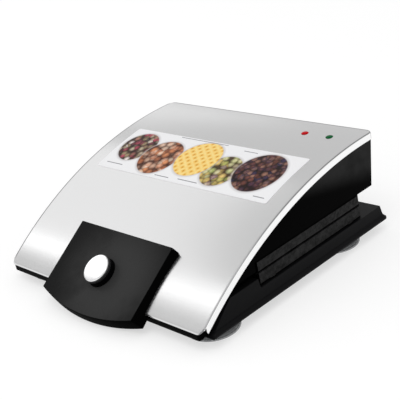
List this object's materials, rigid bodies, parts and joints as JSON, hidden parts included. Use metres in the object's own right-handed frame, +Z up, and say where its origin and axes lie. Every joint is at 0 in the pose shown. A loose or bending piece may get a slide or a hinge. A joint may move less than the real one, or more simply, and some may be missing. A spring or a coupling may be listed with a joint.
{
  "type": "sandwich maker",
  "caption": "Countertop waffle and sandwich maker with a domed brushed-steel lid, a dark front handle with a round release button, grid cooking plates and a black base on suction feet.",
  "frame": {"origin": "centre of the footprint of the closed appliance, on the table", "axes": "+X to the right as seen from the front, +Y to the back where the hinge is, +Z up"},
  "size_m": [0.2586, 0.242, 0.09],
  "materials": {
    "stainless_steel": "satin drawn sheet",
    "bright_cap": "polished",
    "black_lid_plastic": "fine texture",
    "black_base_plastic": "fine texture",
    "grey_handle_plastic": "satin",
    "dark_knob_plastic": "satin",
    "nonstick_aluminium": "rough black non-stick coating on the casting",
    "bare_aluminium": "mill",
    "heater_steel": "oxidised tube",
    "zinc_steel": "zinc plated",
    "grey_silicone": "translucent",
    "ceramic": "glazed",
    "white_nylon": "natural",
    "red_lens": "clear tinted",
    "green_lens": "clear tinted",
    "lamp_glass": "clear",
    "label_film": "printed film"
  },
  "bodies": {
    "base": {"base_shell": "black_base_plastic", "bottom_cover": "black_base_plastic", "floor_screws": "zinc_steel", "foot_front_left": "grey_silicone", "foot_front_right": "grey_silicone", "foot_rear_left": "grey_silicone", "foot_rear_right": "grey_silicone", "lower_plate": "nonstick_aluminium", "lower_plate_screws": "zinc_steel", "lower_heater": "heater_steel", "lower_reflector": "bare_aluminium", "thermal_fuse": "ceramic", "terminal_block": "white_nylon", "cord_inlet": "black_base_plastic", "cord_clamp": "white_nylon", "cord_clamp_screws": "zinc_steel", "hinge_pins": "zinc_steel", "hinge_clips": "zinc_steel", "latch_catch": "zinc_steel", "catch_screws": "zinc_steel"},
    "lid": {"steel_cover": "stainless_steel", "lid_shell": "black_lid_plastic", "upper_plate": "nonstick_aluminium", "upper_plate_screws": "zinc_steel", "upper_heater": "heater_steel", "upper_reflector": "bare_aluminium", "thermostat": "ceramic", "cover_nuts": "zinc_steel", "label_panel": "label_film", "power_lens": "red_lens", "ready_lens": "green_lens", "lamp_sleeves": "grey_silicone", "neon_lamps": "lamp_glass", "handle": "grey_handle_plastic", "handle_back": "grey_handle_plastic", "handle_screws": "zinc_steel", "latch_pin": "zinc_steel", "latch_spring": "zinc_steel"},
    "button": {"button_knob": "dark_knob_plastic", "button_cap": "bright_cap", "button_clip": "zinc_steel"},
    "latch_hook": {"latch_hook": "black_base_plastic"}
  },
  "joints": [
    {"name": "lid_hinge", "type": "hinge", "parent": "base", "child": "lid", "pos_m": [0, 0.1035, 0.0329], "axis": [-1, 0, 0], "range_deg": [0, 97]},
    {"name": "button_press", "type": "slide", "parent": "lid", "child": "button", "axis": [0, 0.555, -0.8319], "range_m": [0, 0.003], "stiffness_N_per_m": 400, "springref_m": -0.004},
    {"name": "latch_hook_turn", "type": "hinge", "parent": "lid", "child": "latch_hook", "pos_m": [0, -0.06672, 0.02975], "axis": [1, 0, 0], "range_deg": [0, 9.6], "deforming": ["latch_spring"]}
  ],
  "couplings": [
    {"joint": "latch_hook_turn", "follows": "button_press", "rad_per_m": 55.556}
  ]
}
